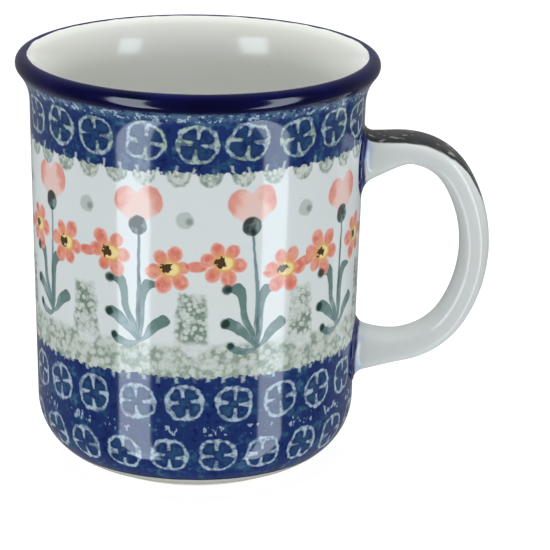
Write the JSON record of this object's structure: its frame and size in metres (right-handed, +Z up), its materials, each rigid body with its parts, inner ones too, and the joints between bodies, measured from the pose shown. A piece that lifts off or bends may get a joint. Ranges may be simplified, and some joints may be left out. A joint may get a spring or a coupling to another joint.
{
  "type": "stoneware mug",
  "caption": "Straight-sided glazed stoneware mug with a flared dark blue rim, stamped blue bands, a painted flower frieze and a strap loop handle.",
  "frame": {"origin": "centre of the foot ring's rest plane, on the cup's axis", "axes": "+Z up along the cup's axis, +X towards the handle, +Y completes the right-handed frame"},
  "size_m": [0.1136, 0.0866, 0.1],
  "materials": {
    "bare_stoneware": "unglazed fine white stoneware, matt, slightly sandy",
    "slip": "the same clay as slip, smoothed with a wet finger",
    "cobalt_glaze": "dark cobalt underglaze under clear gloss glaze",
    "stamped_glaze": "mottled cobalt with pale stamped rings, under clear gloss glaze",
    "painted_glaze": "white ground with painted coral flowers and grey-green leaves, under clear gloss glaze",
    "clear_glaze": "clear gloss glaze over white stoneware, faintly grey-green where it is thick"
  },
  "bodies": {
    "root": {"cup_body": "bare_stoneware", "handle": "bare_stoneware", "upper_slip_joint": "slip", "lower_slip_joint": "slip", "rim_band": "cobalt_glaze", "upper_stamped_band": "stamped_glaze", "flower_frieze": "painted_glaze", "lower_stamped_band": "stamped_glaze", "heel_glaze": "clear_glaze", "underside_glaze": "clear_glaze", "inner_glaze": "clear_glaze", "handle_glaze": "clear_glaze", "spine_stroke": "cobalt_glaze"}
  },
  "joints": []
}
